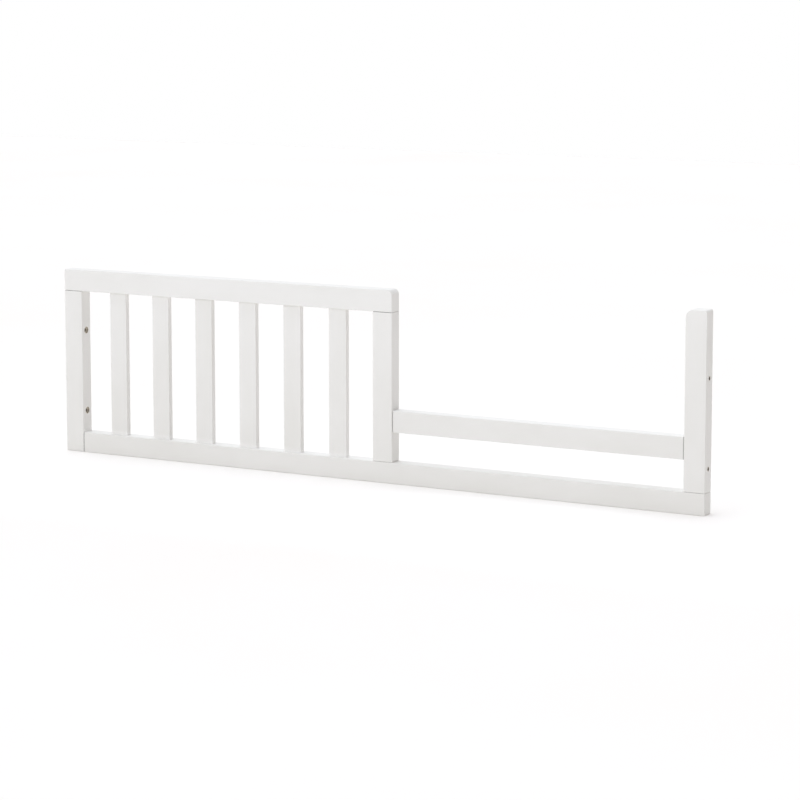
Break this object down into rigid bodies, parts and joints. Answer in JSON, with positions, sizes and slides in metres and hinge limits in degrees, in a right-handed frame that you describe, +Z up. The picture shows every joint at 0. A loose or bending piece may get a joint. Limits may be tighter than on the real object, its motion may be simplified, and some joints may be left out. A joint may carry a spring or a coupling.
{
  "type": "toddler bed guard rail",
  "caption": "Low wooden rail that closes a crib's open side as a toddler bed: slats between posts under a top rail, an open entry over a low rail, and bolt holes in both ends.",
  "frame": {"origin": "centre of the footprint, on the plane that the bottom rail rests on", "axes": "+X along the rail from the slatted end to the entry end, +Y from the front to the back (the mattress side), +Z up"},
  "size_m": [1.33, 0.028, 0.355],
  "materials": {
    "painted_wood": "satin white paint on solid wood",
    "beech_dowel": "bare beech",
    "sleeve_steel": "dull zinc-plated steel"
  },
  "bodies": {
    "root": {"top_rail": "painted_wood", "bottom_rail": "painted_wood", "lower_guard_rail": "painted_wood", "left_post": "painted_wood", "middle_post": "painted_wood", "right_post": "painted_wood", "slat_1": "painted_wood", "slat_2": "painted_wood", "slat_3": "painted_wood", "slat_4": "painted_wood", "slat_5": "painted_wood", "slat_6": "painted_wood", "left_post_top_dowels": "beech_dowel", "left_post_foot_dowels": "beech_dowel", "middle_post_top_dowels": "beech_dowel", "middle_post_foot_dowels": "beech_dowel", "right_post_foot_dowels": "beech_dowel", "guard_rail_left_dowels": "beech_dowel", "guard_rail_right_dowels": "beech_dowel", "left_lower_bolt_sleeve": "sleeve_steel", "left_upper_bolt_sleeve": "sleeve_steel", "right_lower_bolt_sleeve": "sleeve_steel", "right_upper_bolt_sleeve": "sleeve_steel"}
  },
  "joints": []
}
